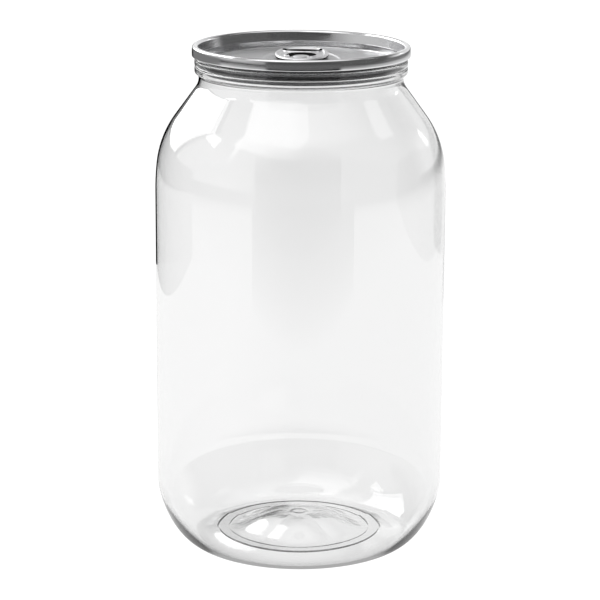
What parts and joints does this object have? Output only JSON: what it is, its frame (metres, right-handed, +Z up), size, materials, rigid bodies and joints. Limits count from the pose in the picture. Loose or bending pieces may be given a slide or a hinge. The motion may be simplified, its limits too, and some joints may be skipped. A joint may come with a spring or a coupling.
{
  "type": "plastic jar",
  "caption": "Clear blown plastic food jar with a rounded shoulder, beaded neck and lobed base, closed by a seamed metal can end with a stay-on pull tab.",
  "frame": {"origin": "centre of the base, on the surface the jar stands on", "axes": "+Z up along the jar's axis, -Y towards the viewer, the pull tab's lifting end towards +Y"},
  "size_m": [0.0872, 0.087, 0.1526],
  "materials": {
    "clear_plastic": "clear, glossy, colourless",
    "end_aluminium": "bare rolled sheet, fine streaks, satin",
    "tab_aluminium": "bare sheet, smoother and brighter than the end"
  },
  "bodies": {
    "root": {"jar": "clear_plastic", "can_end": "end_aluminium", "pull_tab": "tab_aluminium"}
  },
  "joints": []
}
